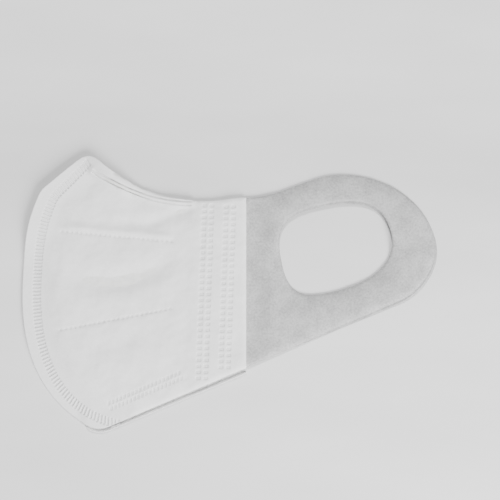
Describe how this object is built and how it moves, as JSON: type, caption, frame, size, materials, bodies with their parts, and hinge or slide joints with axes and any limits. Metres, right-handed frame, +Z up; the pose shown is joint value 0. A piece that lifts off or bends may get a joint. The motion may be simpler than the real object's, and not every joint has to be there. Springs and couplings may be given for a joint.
{
  "type": "dust mask",
  "caption": "Fold-flat disposable dust mask of white nonwoven, folded at its curved welded front seam, with a nose wire and a stretch ear loop on each half",
  "frame": {"origin": "middle of the folded mask's footprint, on the surface that it lies on", "axes": "+X from the front seam to the ear loops, +Y from the chin to the nose, +Z up out of the surface, with the left half on top"},
  "size_m": [0.2, 0.1304, 0.0041],
  "materials": {
    "cover": "matte",
    "filter": "matte",
    "lining": "matte",
    "ear_sheet": "matte",
    "weld": "satin",
    "nose_plastic": "matte",
    "nose_steel": "satin"
  },
  "bodies": {
    "right_half": {"right_outer_cover": "cover", "right_filter_web": "filter", "right_lining": "lining", "right_seam_weld": "weld", "right_ear_weld": "weld", "right_chin_weld": "weld", "right_rib_weld": "weld", "right_nose_weld": "weld", "right_nose_sheath": "nose_plastic", "right_nose_core": "nose_steel", "right_ear_tab": "ear_sheet", "seam_core": "weld"},
    "left_half": {"left_outer_cover": "cover", "left_filter_web": "filter", "left_lining": "lining", "left_seam_weld": "weld", "left_ear_weld": "weld", "left_chin_weld": "weld", "left_rib_weld": "weld", "left_nose_weld": "weld", "left_nose_sheath": "nose_plastic", "left_nose_core": "nose_steel", "left_ear_tab": "ear_sheet"},
    "left_ear": {"left_ear_loop": "ear_sheet"},
    "right_ear": {"right_ear_loop": "ear_sheet"}
  },
  "joints": [
    {"name": "fold", "type": "hinge", "parent": "right_half", "child": "left_half", "pos_m": [-0.09995, 0, 0.00205], "axis": [0, -1, 0], "range_deg": [0, 110]},
    {"name": "left_ear_swing", "type": "hinge", "parent": "left_half", "child": "left_ear", "pos_m": [0.00775, 0, 0.00345], "axis": [0, -1, 0], "range_deg": [0, 165]},
    {"name": "right_ear_swing", "type": "hinge", "parent": "right_half", "child": "right_ear", "pos_m": [0.00775, 0, 0.00065], "axis": [0, 1, 0], "range_deg": [0, 165]}
  ]
}
